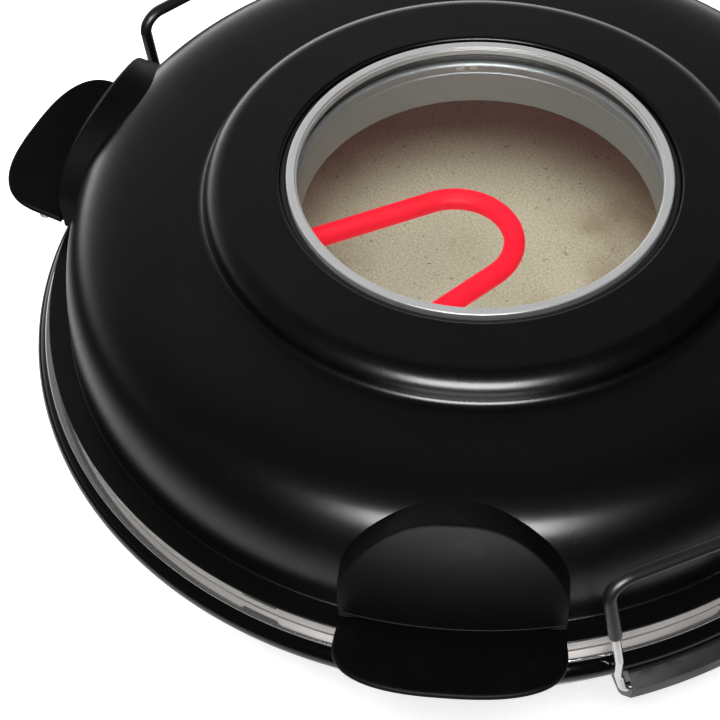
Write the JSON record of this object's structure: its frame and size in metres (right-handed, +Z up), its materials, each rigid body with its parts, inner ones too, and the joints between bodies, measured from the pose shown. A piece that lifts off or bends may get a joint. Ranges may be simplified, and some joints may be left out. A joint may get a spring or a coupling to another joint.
{
  "type": "electric pizza maker",
  "caption": "Round countertop pizza oven: hinged domed lid with a glass window and a tube heater over a baking stone, black paddle handles and swinging wire bails.",
  "frame": {"origin": "middle of the whole body's box in plan, on the surface that the rubber feet stand on", "axes": "+Z up, -Y towards the front edge that the cook lifts, +Y towards the hinge, +X to the right as seen from the front"},
  "size_m": [0.3686, 0.3906, 0.1129],
  "materials": {
    "base_enamel": "glossy black enamel",
    "lid_enamel": "satin black heat-proof enamel",
    "cover_steel": "matt black paint",
    "foot_rubber": "matt moulded rubber",
    "screw_steel": "bright zinc plating",
    "pan_steel": "aluminised sheet, lightly reflective",
    "stone": "unglazed cordierite stone",
    "heater_sheath": "heat-browned steel tube",
    "bright_steel": "bright strip steel",
    "ceramic": "white steatite ceramic",
    "phenolic": "brown-black phenolic",
    "lead_sleeve": "glass-fibre braid",
    "black_plastic": "fine-grained black thermoset",
    "handle_plastic": "fine-grained black thermoset",
    "gland_rubber": "matt moulded rubber",
    "brushed_skirt": "brushed along the band",
    "satin_ring": "satin silver",
    "gasket_rubber": "matt silicone",
    "window_glass": "clear tempered glass",
    "sleeve_steel": "greyed sheet steel",
    "glowing_heater": "steel tube glowing red",
    "bail_steel": "polished steel wire",
    "grip_sleeve": "black insulating sleeve"
  },
  "bodies": {
    "base": {"base_shell": "base_enamel", "bottom_cover": "cover_steel", "feet": "foot_rubber", "cover_screws": "screw_steel", "lower_pan": "pan_steel", "baking_stone": "stone", "lower_heater": "heater_sheath", "lower_heater_clips": "bright_steel", "lower_terminals": "ceramic", "thermostat": "phenolic", "thermal_fuse": "ceramic", "terminal_block": "ceramic", "base_wiring": "lead_sleeve", "hinge_housing": "black_plastic", "hinge_pin": "screw_steel", "housing_screws": "screw_steel", "cord_gland": "gland_rubber", "bail_block_right": "black_plastic", "bail_block_left": "black_plastic", "bail_block_screws": "screw_steel"},
    "lid": {"lid_shell": "lid_enamel", "steel_skirt": "brushed_skirt", "lid_liner": "pan_steel", "window_ring": "satin_ring", "window_gasket": "gasket_rubber", "window_glass": "window_glass", "sleeve_collar": "sleeve_steel", "window_sleeve": "sleeve_steel", "upper_heater": "glowing_heater", "upper_heater_clips": "bright_steel", "upper_terminals": "ceramic", "lid_wiring": "lead_sleeve", "handle_right": "handle_plastic", "handle_left": "handle_plastic", "handle_screws": "screw_steel", "hinge_arm": "black_plastic", "arm_screws": "screw_steel"},
    "bail_right": {"bail_wire_right": "bail_steel", "bail_grip_right": "grip_sleeve"},
    "bail_left": {"bail_wire_left": "bail_steel", "bail_grip_left": "grip_sleeve"}
  },
  "joints": [
    {"name": "lid_hinge", "type": "hinge", "parent": "base", "child": "lid", "pos_m": [0, 0.1733, 0.044], "axis": [-1, 0, 0], "range_deg": [0, 100]},
    {"name": "bail_right_swing", "type": "hinge", "parent": "base", "child": "bail_right", "pos_m": [0.17825, -0.04175, 0.0285], "axis": [0.1392, 0.9903, 0], "range_deg": [0, 105]},
    {"name": "bail_left_swing", "type": "hinge", "parent": "base", "child": "bail_left", "pos_m": [-0.17825, -0.04175, 0.0285], "axis": [0.1392, -0.9903, 0], "range_deg": [0, 105]}
  ]
}
